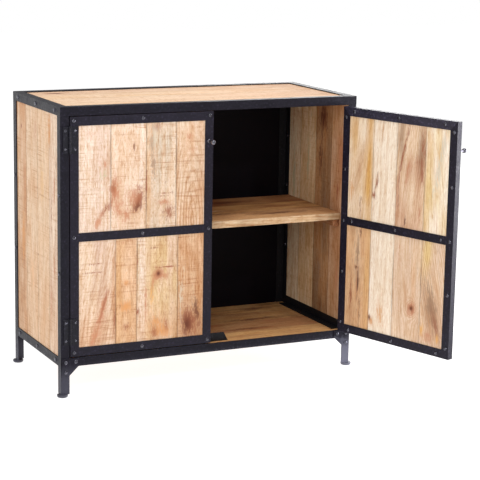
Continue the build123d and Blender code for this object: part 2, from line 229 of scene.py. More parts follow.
def flow_round_knots(along, across, knots):
    """Grain lines part around each knot: places near it are drawn towards its middle."""
    moved = across.copy()
    for knot_spot in knots:
        reach = 2.4 * knot_spot["width"]
        spread = ((along - knot_spot["down"]) / (1.8 * reach)) ** 2
        spread += ((across - knot_spot["over"]) / reach) ** 2
        moved -= (across - knot_spot["over"]) * 0.75 * np.exp(-spread)
    return moved


def tone_of_wood(along, across, unrolled, width, board, shades, seed):
    """The board's plain colour: its two tones mixed by long, wavy streaks and soft clouds.

    Shades are laid over it as exp(-distance squared), and both long edges are darker.
    """
    wavy = unrolled + 6 * MM * smooth_noise(along * 6, across * 14, seed + 6)
    streak = smooth_noise(along * 3.0, wavy * 46, seed) * 0.5
    streak += smooth_noise(along * 9, wavy * 105, seed + 1) * 0.45
    cloud = smooth_noise(along * 14, across * 26, seed + 2)
    share = np.clip(0.42 + 0.9 * streak + 0.6 * cloud, 0, 1)[:, None] * board["mix"]
    tone = TONES[board["tone"]] * (1 - share) + TONES[board["second"]] * share
    for shade_spot in shades:
        weight = shade_spot["strength"] * np.exp(-1.1 * near_spot(along, across, shade_spot))
        weight = np.clip(weight * (1 + 0.5 * streak + 0.3 * cloud), 0, 1)[:, None]
        tone = tone * (1 - weight) + TONES[shade_spot["tone"]] * weight
    from_edge = np.minimum(across, width - across) / DARK_EDGE
    ragged_edge = 0.6 + 0.4 * smooth_noise(along * 24, across * 0 + 3, seed + 8)
    return tone * (1 - 0.42 * ragged_edge * np.exp(-from_edge ** 2))[:, None]


def stains_of_wood(along, across, features):
    """The colour and amount of the stains, knots and cracks at each place.

    Each feature's amount falls off from its middle as exp(-distance squared), and
    each one lies over those before it in the list.
    """
    colour = np.tile(TONES["rose"], (len(along), 1))
    amount = np.zeros(len(along))
    for feature in features:
        weight = feature["strength"] * np.exp(-1.1 * near_spot(along, across, feature))
        share = (weight / (weight + amount * (1 - weight) + 1e-6))[:, None]
        colour = colour * (1 - share) + TONES[feature["tone"]] * share
        amount = 1 - (1 - amount) * (1 - weight)
    return np.column_stack((colour, amount))


def build_board(start, directions, size, board, features, seed):
    """One board: a round-cornered outline carried along the grain, closed at both ends.

    directions are along the grain, across it and through the board, and size is
    length, width and thickness. The wide faces cup with the square of the distance
    from the middle line, and sink at each crack and knot by its depth times
    exp(-distance squared). A growth ring is a circle round the tree's middle, so a
    place's ring is its distance from that line. The face that is painted in shade has
    its tone multiplied by its gain. Returns points, faces and what the wood material reads.
    """
    length, width, thickness = size
    ring_across, ring_through, outward = board_ring(width, thickness)
    rings = max(4, round(length / ALONG_STEP)) + 1
    per_ring = len(ring_across)
    along = np.repeat(np.linspace(0, length, rings), per_ring)
    across = np.tile(ring_across, rings)
    through = np.tile(ring_through, rings)
    facing = np.tile(outward, rings)

    cup = CUP * (2 * across / width - 1) ** 2
    wave = WAVINESS * (1 + smooth_noise(along * 14, across * 30, seed + 7))
    sink = np.zeros_like(along)
    for feature in features:
        if feature["depth"]:
            sink += feature["depth"] * np.exp(-2.2 * near_spot(along, across, feature))
    edge_fade = np.clip(np.minimum(across, width - across) / SOFT_EDGE, 0, 1)
    through = through - facing * (cup + sink + wave * edge_fade)

    points = (start + along[:, None] * directions[0] + across[:, None] * directions[1]
              + through[:, None] * directions[2])
    faces = tube_faces(rings, per_ring)
    faces.append(list(range(per_ring))[::-1])
    faces.append(list(range((rings - 1) * per_ring, rings * per_ring)))
    if np.dot(np.cross(directions[1], directions[2]), directions[0]) < 0:
        faces = [face[::-1] for face in faces]

    knots = [feature for feature in features if feature["kind"] == "knot"]
    shades = [feature for feature in features if feature["kind"] == "shade"]
    stains = [feature for feature in features if feature["kind"] != "shade"]
    unrolled = across + through * (2 * across / width - 1) + board["slope"] * along
    parted = flow_round_knots(along, across, knots) + unrolled - across
    rng = np.random.default_rng(seed)
    heart = width * (rng.uniform(-0.5, 1.5) if board["heart"] is None else board["heart"])
    taper = rng.uniform(-0.10, 0.10) if board["taper"] is None else board["taper"]
    depth = rng.uniform(14, 40) * MM
    wander = WANDER * smooth_noise(along * 3.1, parted * 9, seed + 5)
    growth = np.hypot(parted - heart, depth + taper * (along - length / 2)) + wander
    strength = board["rings"] + (board["low_rings"] - board["rings"]) * along / length
    strength *= 0.75 + 0.35 * smooth_noise(along * 8, across * 12, seed + 9)
    for knot_spot in knots:
        closeness = near_spot(along, across, knot_spot)
        near = np.exp(-0.14 * closeness)
        growth = growth * (1 - near) + np.sqrt(closeness) * knot_spot["width"] * near
        strength = strength + 0.7 * near * (1 - strength)
    shift = rng.uniform(0, 40, 2)
    grain = np.stack((along + shift[0], parted + 0.3 * wander + shift[1], growth), axis=1)
    tone = tone_of_wood(along, across, unrolled, width, board, shades, seed)
    # Painted shade: the darkened face's tone is multiplied by its gain.
    face, gain = board["weathered"]
    tone = np.where((facing * face > 0)[:, None], tone * gain, tone)
    tone = np.column_stack((tone, np.clip(strength, 0, 1)))
    return points, faces, grain, tone, stains_of_wood(along, across, stains)


def spot(kind, over, down, width, length, tone, strength=0.8, lean=0.0, depth=0.0):
    """A feature of the wood: stain, knot, crack or saw line. Sizes are half widths."""
    return {"kind": kind, "over": over, "down": down, "width": width * MM,
            "length": length * MM, "tone": tone, "strength": strength,
            "lean": lean, "depth": depth * MM}


def board_set(node, body, directions, boards, features, seed, material):
    """Replace a CAD node of plain boards by sawn ones in the same places.

    directions are along the grain, across it, and through the boards. Features
    are placed by shares of the length and width that show inside the iron.
    """
    grain_way, cross_way, thick_way = directions
    places = node_points(node)
    along, across, through = places @ grain_way, places @ cross_way, places @ thick_way
    edges = np.unique(np.round(across, 5))
    starts, ends = edges[0::2], edges[1::2]
    length = along.max() - along.min()
    hidden_across, hidden_top, hidden_bottom = HIDDEN.get(node.split("_door_")[-1], (0, 0, 0))
    seen_width = across.max() - across.min() - 2 * hidden_across
    seen_length = length - hidden_top - hidden_bottom
    points, faces, grain, tone, stain = [], [], [], [], []
    count = 0
    for number, (low, high) in enumerate(zip(starts, ends)):
        board = boards[number % len(boards)]
        own = []
        for feature in features:
            moved = dict(feature)
            moved["over"] = hidden_across + feature["over"] * seen_width - (low - starts[0])
            moved["down"] = hidden_top + feature["down"] * seen_length
            if -feature["width"] * 2 < moved["over"] < high - low + feature["width"] * 2:
                own.append(moved)
        start = grain_way * along.min() + cross_way * low + thick_way * through.min()
        size = (length, high - low, through.max() - through.min())
        made = build_board(start, directions, size, board, own, seed + 31 * number)
        points.append(made[0])
        faces += [[corner + count for corner in face] for face in made[1]]
        grain.append(made[2])
        tone.append(made[3])
        stain.append(made[4])
        count += len(made[0])
    piece = mesh_piece(f"sawn_{node}", np.concatenate(points), faces, material)
    add_attribute(piece, "grain", np.concatenate(grain))
    add_attribute(piece, "tone", np.concatenate(tone), "FLOAT_COLOR")
    add_attribute(piece, "stain", np.concatenate(stain), "FLOAT_COLOR")
    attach(piece, body)
    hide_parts(node)
    next(part["material_slot"] for part in frame["record"]["subparts"]
                        if part["node"] == node)


# ---- Materials ----

class Value:
    """A node's output socket, with the arithmetic that shaders use."""

    def __init__(self, shader, socket):
        self.shader = shader
        self.socket = socket

    def maths(self, operation, first, second):
        return self.shader.node("ShaderNodeMath", {"operation": operation},
                                {0: first, 1: second})

    def __add__(self, other):
        return self.maths("ADD", self, other)

    __radd__ = __add__

    def __mul__(self, other):
        return self.maths("MULTIPLY", self, other)

    __rmul__ = __mul__

    def __sub__(self, other):
        return self.maths("SUBTRACT", self, other)

    def __rsub__(self, other):
        return self.maths("SUBTRACT", other, self)


class Shader:
    """A material under construction, with its Principled shader."""

    def __init__(self, name, **constants):
        self.material = bpy.data.materials.new(name)
        self.material.use_nodes = True
        self.tree = self.material.node_tree
        self.surface = self.tree.nodes["Principled BSDF"]
        for socket, value in constants.items():
            self.surface.inputs[socket.replace("_", " ")].default_value = value

    def node(self, kind, settings=None, inputs=None, output=0):
        """Add a node: its settings are set first, then its sockets are filled or linked."""
        made = self.tree.nodes.new(kind)
        for key, value in (settings or {}).items():
            if key == "stops":
                ramp = made.color_ramp
                while len(ramp.elements) < len(value):
                    ramp.elements.new(0.5)
                for element, (place, shade) in zip(ramp.elements, value):
                    element.position = place
                    element.color = (shade, shade, shade, 1)
            else:
                setattr(made, key, value)
        for key, value in (inputs or {}).items():
            if isinstance(value, Value):
                self.tree.links.new(value.socket, made.inputs[key])
            else:
                made.inputs[key].default_value = value
        return Value(self, made.outputs[output])

    def second_output(self, value, output):
        """Another output of the node that a value comes from."""
        return Value(self, value.socket.node.outputs[output])

    def noise(self, place, scale, detail=2.0, roughness=0.5, distortion=0.0):
        """Noise from 0 to 1 at a place stretched by one scale for each axis."""
        stretched = self.node("ShaderNodeMapping", None, {"Vector": place, "Scale": scale})
        return self.node("ShaderNodeTexNoise", None, {
            "Vector": stretched, "Scale": 1.0, "Detail": detail,
            "Roughness": roughness, "Distortion": distortion})

    def ramp(self, value, stops):
        """A value read off straight lines between (place, height) stops."""
        return self.node("ShaderNodeValToRGB", {"stops": stops}, {0: value})

    def low_places(self, value, full, none, level=0.9):
        """1 where a value is nothing, falling to level at full and to 0 at none."""
        return self.ramp(value, [(0.0, 1.0), (full, level), (none, 0.0), (1.0, 0.0)])

    def high_places(self, value, none, full):
        """0 up to none, rising to 1 at full."""
        return self.ramp(value, [(0.0, 0.0), (none, 0.0), (full, 1.0), (1.0, 1.0)])

    def tint(self, factor, first, second, blend="MIX"):
        """Mix two colours by a factor."""
        return self.node("ShaderNodeMix", {"data_type": "RGBA", "blend_type": blend},
                         {0: factor, 6: first, 7: second}, output=2)

    def feed(self, socket, value):
        """Link a value to one of the surface's own sockets."""
        self.tree.links.new(value.socket, self.surface.inputs[socket])

    def bump(self, height, distance, strength):
        """The surface's direction once it is raised by a height from 0 to 1."""
        return self.node("ShaderNodeBump", None,
                         {"Height": height, "Distance": distance, "Strength": strength})


def rgba(colour, gain=1.0):
    """A colour as a socket takes it, multiplied by a gain."""
    return (*(float(c) * gain for c in colour), 1.0)


def wood(name, gain, saw, roughness, length_scale=1.0, contrast=1.0):
    """Sawn hardwood over painted tones: figure, growth rings, pores, stains and saw marks.

    gain is a tint over the tone, saw is the strength of the saw marks, a low length_scale
    draws the figure out along the grain, and contrast strengthens it.
    """
    shader = Shader(name, Specular_IOR_Level=0.25)
    grain = shader.node("ShaderNodeAttribute", {"attribute_name": "grain"}, output=1)
    tone = shader.node("ShaderNodeAttribute", {"attribute_name": "tone"}, output=0)
    stain = shader.node("ShaderNodeAttribute", {"attribute_name": "stain"}, output=0)
    ring_strength = shader.second_output(tone, 3)
    stain_amount = shader.second_output(stain, 3)
    parts = shader.node("ShaderNodeSeparateXYZ", None, {0: grain})
    growth = shader.second_output(parts, 2)

    figure = shader.noise(grain, (10 * length_scale, 80, 0), detail=4, roughness=0.62, distortion=0.9)
    fleck = shader.noise(grain, (48 * length_scale, 260, 0), detail=3, roughness=0.65, distortion=0.3)
    fibre = shader.noise(grain, (16, 1100, 0), detail=2)
    mottle = shader.noise(grain, (45 * length_scale, 85, 0), detail=3, roughness=0.65, distortion=1.2)

    drift = shader.noise(grain, (9, 60, 0), detail=3)
    wave = shader.node("ShaderNodeMath", {"operation": "SINE"},
                       {0: growth * (TURN / RING_SPACING) + drift * 6.0})
    rings = shader.ramp(wave * 0.5 + 0.5, [(0.0, 0.0), (0.5, 0.05), (0.9, 1.0), (1.0, 0.7)])
    pores = shader.low_places(shader.noise(grain, (60, 420, 0), detail=2), 0.30, 0.39)

    cross = shader.noise(grain, (215, 7, 0), detail=3, roughness=0.7, distortion=0.1)
    sawn_area = shader.ramp(shader.noise(grain, (7, 13, 0), detail=2),
                            [(0.0, 0.15), (0.42, 0.25), (0.60, 1.0), (1.0, 1.0)])
    saw_cut = shader.low_places(cross, 0.36, 0.48, level=0.8) * sawn_area

    def washed(colour, washes):
        """A colour multiplied by each (amount, tint) in turn."""
        for amount, tint in washes:
            colour = shader.tint(amount, colour, rgba(tint), "MULTIPLY")
        return colour

    colour = washed(tone, (
        (1.0, gain),
        (shader.low_places(figure, 0.36, 0.54) * (0.7 * contrast), (0.84, 0.72, 0.60)),
        (shader.high_places(figure, 0.50, 0.68) * (0.6 * contrast), (1.10, 1.14, 1.18)),
        (shader.low_places(mottle, 0.36, 0.52) * (0.6 * contrast), (0.86, 0.73, 0.62)),
        (shader.low_places(fleck, 0.36, 0.48) * (0.7 * contrast), (0.76, 0.61, 0.47)),
        (rings * ring_strength, (0.76, 0.58, 0.42)),
        (saw_cut * saw, (0.66, 0.46, 0.32))))
    uneven = fleck * 4.6 + mottle * 3.6 + figure * 1.6 - saw_cut * 0.3 - 4.9
    streaky = shader.high_places(stain_amount * 1.6 - 0.42 + uneven, 0.05, 0.75)
    solid = shader.high_places(stain_amount, 0.84, 0.95)
    covered = shader.node("ShaderNodeMath", {"operation": "MAXIMUM"},
                          {0: streaky * (stain_amount * 0.5 + 0.5), 1: solid})
    colour = shader.tint(covered, colour, stain)
    colour = washed(colour, ((pores * 0.45, (0.62, 0.48, 0.36)),
                             (fibre * 0.2, (0.84, 0.78, 0.70))))
    shader.feed("Base Color", colour)

    shader.feed("Roughness", fleck * 0.2 + saw_cut * 0.1 + (roughness - 0.1))
    relief = fleck * 0.3 + fibre * 0.2 - saw_cut * (0.9 * saw) - pores * 0.4 - rings * 0.12
    shader.feed("Normal", shader.bump(relief, 0.5 * MM, 0.8))
    return shader.material


def iron(name, colour, sheen, roughness, hammer=1.0, metal=0.0):
    """Blackened iron: a mottled skin, a hammered relief, paler specks, and feet that turn grey, partly
    as worn iron and partly as painted light.

    The painted light is stronger towards the right end, where it stands in for the light on the right
    leg.
    """
    shader = Shader(name, Specular_IOR_Level=sheen, Metallic=metal)
    place = shader.node("ShaderNodeTexCoord", output=3)
    cloud = shader.noise(place, (26, 26, 26), detail=4, roughness=0.6)
    mottle = shader.noise(place, (150, 150, 150), detail=3, roughness=0.6)
    grit = shader.noise(place, (900, 900, 900), detail=2)
    specks = shader.high_places(mottle, 0.57, 0.70)
    base = shader.tint(cloud * 0.6 + mottle * 0.7 - 0.15, rgba(colour, 0.25), rgba(colour, 2.2))
    rubbed = shader.tint(specks * 0.6, base, rgba(colour, 5.0))
    sideways = shader.node("ShaderNodeSeparateXYZ", None, {0: place})
    height = shader.second_output(sideways, 2)
    # Wear and painted light: paler grey towards the feet, growing towards the right end as painted
    # light on the right leg.
    feet_wear_and_light = shader.low_places(height * 8 + mottle * 0.4 - 0.2, 0.45, 0.75, level=0.8)
    feet_worn_and_lit = shader.tint(feet_wear_and_light * (sideways * 0.6 + 0.55), rubbed, rgba(srgb(112, 112, 126)))
    shader.feed("Base Color", feet_worn_and_lit)
    shader.feed("Roughness", cloud * 0.24 + mottle * 0.3 + grit * 0.08 + (roughness - 0.31))
    relief = mottle * hammer + grit * 0.12 + cloud * 0.6
    shader.feed("Normal", shader.bump(relief, 1.1 * MM, 0.7))
    return shader.material


FRAME_IRON = iron("blackened_iron", srgb(18, 16, 24), 0.13, 0.42)
DOOR_IRON = iron("door_iron", srgb(22, 19, 29), 0.17, 0.42)
# Painted light: the right door's top channel gets a paler, glossier copy of the door iron, standing in
# for the light that it catches.
LIT_CHANNEL_IRON = iron("painted_light_channel_iron", srgb(34, 31, 43), 0.3, 0.38, hammer=1.3)
INNER_IRON = iron("painted_inner_iron", srgb(16, 16, 19), 0.2, 0.55, hammer=0.5)
HINGE_IRON = iron("hinge_iron", srgb(18, 17, 24), 0.2, 0.36, hammer=1.4)
RIVET_IRON = iron("rivet_iron", srgb(68, 67, 74), 0.6, 0.17, hammer=0.5, metal=0.85)
KNOB_IRON = iron("knob_iron", srgb(84, 83, 90), 0.6, 0.16, hammer=0.2, metal=0.8)
FOOT_IRON = iron("foot_iron", srgb(34, 32, 38), 0.3, 0.45)
OUTSIDE_WOOD = wood("sawn_outside_boards", (0.91, 0.91, 0.91), 0.75, 0.62)
FRONT_WOOD = wood("sawn_door_boards", (0.85, 0.88, 0.94), 0.85, 0.62, contrast=1.25)
PLANED_WOOD = wood("planed_door_boards", (0.98, 1.05, 1.10), 0.10, 0.58, length_scale=0.6,
                   contrast=1.1)
INSIDE_WOOD = wood("sawn_inside_boards", (0.95, 0.96, 0.88), 0.4, 0.60, length_scale=0.7,
                   contrast=1.5)


def black_board():
    """The back panel: black paint with a faint brushed grain."""
    shader = Shader("black_back_board", Specular_IOR_Level=0.08)
    place = shader.node("ShaderNodeTexCoord", output=3)
    brush = shader.noise(place, (240, 240, 9), detail=3)
    cloud = shader.noise(place, (6, 6, 6), detail=2)
    shader.feed("Base Color", shader.tint(cloud, rgba(srgb(7, 5, 10)), rgba(srgb(13, 10, 17))))
    shader.feed("Roughness", brush * 0.15 + 0.42)
    shader.feed("Normal", shader.bump(brush, 0.2 * MM, 0.5))
    return shader.material


BACK_BLACK = black_board()


# ---- Finishes of the CAD nodes that stay ----

SLOT_FINISH = {
    "frame_iron": FRAME_IRON, "inner_iron": INNER_IRON, "foot_iron": FOOT_IRON,
    "door_iron": DOOR_IRON, "hinge_iron": HINGE_IRON, "rivets": RIVET_IRON,
    "knob_iron": KNOB_IRON, "back_board": BACK_BLACK,
    "carcass_boards": OUTSIDE_WOOD, "inside_boards": INSIDE_WOOD, "door_boards": OUTSIDE_WOOD,
}
NODE_FINISH = {"right_door_top_channel": LIT_CHANNEL_IRON}
for part in frame["record"]["subparts"]:
    finish = NODE_FINISH.get(part["node"], SLOT_FINISH[part["material_slot"]])
    for slot in frame["nodes"][part["node"]].material_slots:
        slot.material = finish


# ---- The sets of boards ----

def plank(tone, second, mix=0.7, rings=0.35, heart=None, taper=None, low_rings=None,
          slope=0.0):
    """One board: its two tones, and how strong its growth rings are and where they lie.

    heart is the middle of the tree as a share of the board's width, and taper is
    how fast the rings open out along the board, which draws pointed arches.
    low_rings is the rings' strength at the far end, where it isn't the same. slope
    is how far the grain runs off across the board for each step along it.
    """
    return {"tone": tone, "second": second, "mix": mix, "rings": rings, "heart": heart,
            "taper": taper, "low_rings": rings if low_rings is None else low_rings,
            "slope": slope}


def shade(over, down, width, length, tone, strength=0.6, lean=0.0):
    """A broad, soft change of colour."""
    return spot("shade", over, down, width, length, tone, strength, lean)


def stain(over, down, width, length, tone, strength=0.8, lean=0.0):
    """A ragged stain that follows the grain."""
    return spot("stain", over, down, width, length, tone, strength, lean)


def knot(over, down, radius, strength=0.9, depth=0.5):
    """A knot: a brown halo, a darker eye, and grain that parts around them."""
    return [spot("stain", over, down, radius * 1.9, radius * 2.6, "rose", 0.55),
            spot("knot", over, down, radius, radius * 1.15, "brown", strength, depth=depth),
            spot("stain", over, down, radius * 0.6, radius * 0.7, "umber", 1.0)]


def crack(over, down, width, length, lean=0.0):
    """An open crack: a thin dark slit with a brown rim."""
    return [spot("stain", over, down, width * 3.5, length * 1.4, "rose", 0.75, lean),
            spot("crack", over, down, width * 1.5, length * 1.2, "pitch", 1.0, lean, depth=2.5)]


def saw_line(over, down, length, strength=0.7):
    """A deep saw mark that runs across the boards."""
    return [spot("saw", over, down, length, 1.4, "brown", strength, depth=0.3)]


# For each set of boards: its boards in order, then its features. A feature's place is its share
# of the set's width and length, and its half width and half length are in millimetres.
PANELS = {
    "left_door_upper_boards": (
        [plank("milk", "pink", 0.5, 0.3), plank("milk", "peach", 0.6, 0.2),
         plank("cream", "ash", 0.6, 0.2), plank("cream", "apricot", 0.75, 0.0, 0.46, -0.20, 1.7)],
        [stain(0.285, 0.62, 17, 40, "rose", 0.95, 6), stain(0.27, 0.60, 8, 22, "brown", 0.7),
         stain(0.31, 0.80, 16, 34, "rose", 0.75, -16), stain(0.375, 0.86, 12, 18, "rose", 0.85),
         stain(0.47, 0.72, 17, 42, "brown", 0.95, 16), stain(0.46, 0.79, 9, 18, "umber", 0.85, 24),
         stain(0.42, 0.70, 22, 30, "rose", 0.6), stain(0.215, 0.78, 10, 26, "brown", 0.8, 34),
         stain(0.15, 0.91, 9, 30, "rose", 0.75, 20), stain(0.67, 0.76, 22, 10, "rose", 0.8),
         stain(0.71, 0.86, 20, 20, "brown", 0.75), stain(0.61, 0.04, 14, 14, "brown", 0.8),
         stain(0.59, 0.16, 12, 44, "ash", 0.9), stain(0.585, 0.40, 9, 46, "walnut", 0.7),
         stain(0.57, 0.18, 7, 36, "walnut", 0.65), stain(0.77, 0.40, 4, 70, "walnut", 0.65),
         shade(0.545, 0.60, 6, 130, "golden", 0.8), stain(0.532, 0.58, 2.6, 60, "brown", 0.8),
         shade(0.495, 0.35, 7, 180, "milk", 0.9), stain(0.205, 0.37, 8, 14, "rose", 0.8),
         stain(0.20, 0.47, 12, 14, "moss", 0.7), shade(0.97, 0.35, 12, 150, "orange", 0.6),
         stain(0.88, 0.15, 12, 9, "rose", 0.7), stain(0.90, 0.27, 14, 7, "rose", 0.55),
         # Painted shade: the broad peach shade across the bottom darkens the panel downwards, in place
         # of the light falling off lower down.
         stain(0.07, 0.08, 20, 10, "rose", 0.4), shade(0.5, 0.85, 150, 50, "peach", 0.3)]
        + crack(0.432, 0.22, 1.2, 10)
        + saw_line(0.36, 0.365, 30, 0.8) + saw_line(0.35, 0.42, 34, 0.7)
        + saw_line(0.33, 0.10, 18, 0.5) + saw_line(0.33, 0.15, 18, 0.5)
        + saw_line(0.66, 0.57, 22, 0.6) + saw_line(0.67, 0.675, 24, 0.95)
        + saw_line(0.66, 0.70, 20, 0.6) + saw_line(0.89, 0.80, 30, 0.8)
        + saw_line(0.90, 0.38, 24, 0.6) + saw_line(0.93, 0.47, 18, 0.6)
        + saw_line(0.12, 0.52, 34, 0.45) + saw_line(0.10, 0.60, 30, 0.4)),
    "left_door_lower_boards": (
        [plank("cream", "pink", 0.75, 0.35, slope=0.16), plank("peach", "honey", 0.5, 0.3),
         plank("pale", "yellow", 0.75, 0.3), plank("peach", "orange", 0.7, 0.5)],
        [stain(0.185, 0.66, 10, 56, "rose", 0.9, 15), stain(0.12, 0.92, 12, 34, "rose", 0.9, 20),
         stain(0.20, 0.60, 4, 50, "brown", 0.7, 15), shade(0.275, 0.65, 7, 120, "orange", 0.9),
         stain(0.28, 0.75, 4, 70, "brown", 0.75), stain(0.38, 0.43, 18, 10, "orange", 0.8),
         stain(0.37, 0.65, 18, 16, "orange", 1.0), stain(0.38, 0.85, 11, 10, "brown", 0.85),
         stain(0.46, 0.20, 4, 30, "brown", 0.6), shade(0.50, 0.45, 12, 200, "milk", 0.95),
         stain(0.53, 0.60, 4, 70, "rose", 0.8), stain(0.465, 0.72, 6, 10, "brown", 0.9),
         shade(0.66, 0.66, 34, 60, "yellow", 0.8), stain(0.58, 0.56, 6, 30, "honey", 0.8),
         stain(0.66, 0.92, 34, 22, "orange", 0.9), stain(0.62, 0.82, 20, 18, "orange", 0.85),
         stain(0.60, 0.93, 10, 20, "brown", 0.75), stain(0.70, 0.86, 7, 20, "brown", 0.65),
         stain(0.89, 0.86, 30, 50, "brown", 0.95, -10), stain(0.87, 0.88, 14, 26, "umber", 0.85),
         stain(0.95, 0.75, 10, 34, "umber", 0.65, -12), shade(0.96, 0.60, 12, 90, "orange", 0.8),
         shade(0.9, 0.9, 60, 60, "tan", 0.8), stain(0.82, 0.58, 6, 60, "ash", 0.8),
         # Painted shade: the two broad apricot shades across the bottom darken the panel downwards, in
         # place of the light falling off lower down.
         shade(0.1, 0.9, 60, 80, "apricot", 0.5), shade(0.6, 0.85, 150, 60, "apricot", 0.5),
         stain(0.68, 0.38, 24, 14, "rose", 0.6), stain(0.60, 0.42, 9, 26, "rose", 0.7, 20)]
        + knot(0.632, 0.36, 8)
        + saw_line(0.71, 0.30, 36, 1.0) + saw_line(0.42, 0.44, 24, 0.8)
        + saw_line(0.13, 0.22, 30, 0.7) + saw_line(0.16, 0.78, 30, 0.7)
        + saw_line(0.12, 0.30, 34, 0.7) + saw_line(0.37, 0.20, 26, 0.7)
        + saw_line(0.60, 0.20, 30, 0.7) + saw_line(0.62, 0.11, 26, 0.6)
        + saw_line(0.93, 0.05, 22, 0.8) + saw_line(0.92, 0.20, 24, 0.7)
        + saw_line(0.90, 0.50, 26, 0.7) + saw_line(0.36, 0.92, 24, 0.6)),
    "right_door_upper_boards": (
        [plank("cream", "golden", 0.65, 0.4, slope=0.08), plank("milk", "cream", 0.3, 0.2, slope=0.05),
         plank("pale", "rose", 0.65, 0.4, slope=0.14), plank("milk", "yellow", 0.6, 0.3, slope=-0.1)],
        [shade(0.21, 0.45, 12, 190, "honey", 1.0), shade(0.06, 0.20, 12, 60, "golden", 0.8),
         stain(0.11, 0.50, 14, 80, "tan", 0.8, 12), stain(0.04, 0.72, 8, 40, "orange", 0.6),
         stain(0.13, 0.92, 6, 40, "brown", 0.65), shade(0.16, 0.1, 10, 50, "milk", 0.6),
         stain(0.34, 0.10, 5, 44, "tan", 0.85, 7), shade(0.44, 0.3, 8, 120, "milk", 0.5),
         stain(0.295, 0.60, 5, 32, "brown", 0.95, 10), stain(0.265, 0.74, 8, 8, "brown", 1.0),
         shade(0.53, 0.14, 14, 70, "walnut", 0.75), stain(0.555, 0.28, 6, 90, "brown", 0.9, 13),
         shade(0.64, 0.16, 8, 60, "pale", 0.7, 13), stain(0.60, 0.44, 4, 60, "rose", 0.8, 9),
         shade(0.73, 0.22, 14, 70, "walnut", 0.75), stain(0.745, 0.22, 10, 60, "brown", 0.6),
         stain(0.70, 0.34, 16, 16, "brown", 0.5, 40), stain(0.74, 0.46, 7, 30, "brown", 0.75),
         shade(0.80, 0.35, 10, 190, "honey", 0.6), shade(0.81, 0.55, 12, 120, "yellow", 0.9),
         stain(0.90, 0.4, 12, 90, "ash", 0.7, 10),
         stain(0.94, 0.15, 8, 50, "ash", 0.6, 10), stain(0.59, 0.95, 4, 18, "umber", 0.9),
         shade(0.65, 0.78, 30, 60, "pale", 0.55), stain(0.73, 0.80, 5, 60, "rose", 0.7),
         stain(0.52, 0.75, 3, 70, "brown", 0.6)]),
    "right_door_lower_boards": (
        [plank("apricot", "tan", 0.7, 0.6, 2.4, 0.1), plank("milk", "cream", 0.4, 0.25),
         plank("pale", "pink", 0.5, 0.4, 0.5, 0.08), plank("pale", "pink", 0.7, 0.8, slope=-0.28)],
        [shade(0.22, 0.5, 9, 170, "honey", 0.85), stain(0.12, 0.30, 8, 90, "walnut", 0.8),
         stain(0.06, 0.7, 6, 70, "brown", 0.75), shade(0.10, 0.8, 30, 60, "tan", 0.55),
         shade(0.13, 0.25, 12, 90, "cream", 0.65),
         stain(0.15, 0.80, 5, 60, "umber", 0.55), stain(0.28, 0.9, 12, 16, "orange", 0.8),
         shade(0.70, 0.40, 8, 90, "orange", 0.45), shade(0.88, 0.72, 28, 80, "tan", 0.75, -14),
         stain(0.88, 0.62, 22, 80, "walnut", 0.95, -16),
         stain(0.93, 0.45, 8, 60, "tan", 0.9, -18), stain(0.85, 0.92, 18, 18, "rose", 0.8),
         stain(0.93, 0.80, 10, 50, "brown", 0.6, -18), shade(0.82, 0.12, 17, 60, "yellow", 1.0, 6),
         stain(0.79, 0.86, 6, 16, "honey", 1.0), stain(0.95, 0.92, 5, 14, "honey", 0.95),
         stain(0.69, 0.68, 18, 26, "rose", 0.7),
         stain(0.62, 0.55, 5, 70, "tan", 0.8, -6), stain(0.37, 0.80, 14, 34, "orange", 0.75),
         stain(0.55, 0.2, 4, 60, "rose", 0.6), stain(0.66, 0.92, 14, 20, "tan", 0.6)]
        + knot(0.685, 0.68, 9, 0.6, 0.2)
        + crack(0.128, 0.56, 1.9, 30) + crack(0.105, 0.40, 2.2, 5)
        + crack(0.145, 0.05, 1.5, 12) + crack(0.26, 0.87, 2.2, 6)),
    "left_side_boards": (
        [plank("milk", "pink", 0.6, 0.4), plank("cream", "peach", 0.6, 0.3),
         plank("cream", "apricot", 0.6, 0.4), plank("pale", "orange", 0.65, 0.5)],
        [stain(0.24, 0.08, 12, 60, "orange", 0.95), stain(0.14, 0.30, 8, 60, "rose", 0.8),
         stain(0.06, 0.18, 8, 70, "ash", 0.9), stain(0.20, 0.42, 5, 60, "brown", 0.6),
         stain(0.82, 0.55, 16, 90, "orange", 0.95), stain(0.86, 0.10, 5, 8, "brown", 1.0),
         stain(0.80, 0.30, 12, 60, "rose", 0.5), stain(0.14, 0.62, 10, 60, "rose", 0.8),
         stain(0.40, 0.30, 18, 80, "golden", 0.7), stain(0.62, 0.70, 18, 60, "apricot", 0.7),
         shade(0.4, 0.85, 120, 110, "apricot", 0.5), shade(0.9, 0.8, 60, 170, "tan", 0.5),
         stain(0.2, 0.75, 14, 70, "rose", 0.5), shade(0.1, 0.15, 50, 160, "milk", 0.6),
         stain(0.1, 0.2, 10, 60, "walnut", 0.5), stain(0.55, 0.1, 12, 50, "rose", 0.5)]
        + saw_line(0.4, 0.35, 60, 0.7) + saw_line(0.5, 0.6, 50, 0.6) + saw_line(0.3, 0.8, 50, 0.6)
        + saw_line(0.45, 0.45, 50, 0.6) + saw_line(0.3, 0.7, 60, 0.6)),
    "right_side_boards": (
        [plank("pink", "tan", 0.85, 0.5), plank("tan", "walnut", 0.9, 0.5),
         plank("cream", "golden", 0.6, 0.4), plank("milk", "cream", 0.6, 0.4)],
        [stain(0.38, 0.08, 28, 50, "umber", 0.95), stain(0.42, 0.26, 16, 60, "umber", 0.75),
         stain(0.33, 0.50, 12, 80, "walnut", 0.9), stain(0.40, 0.75, 18, 70, "walnut", 0.8),
         stain(0.1, 0.20, 18, 70, "rose", 0.9), stain(0.14, 0.38, 8, 30, "brown", 0.95),
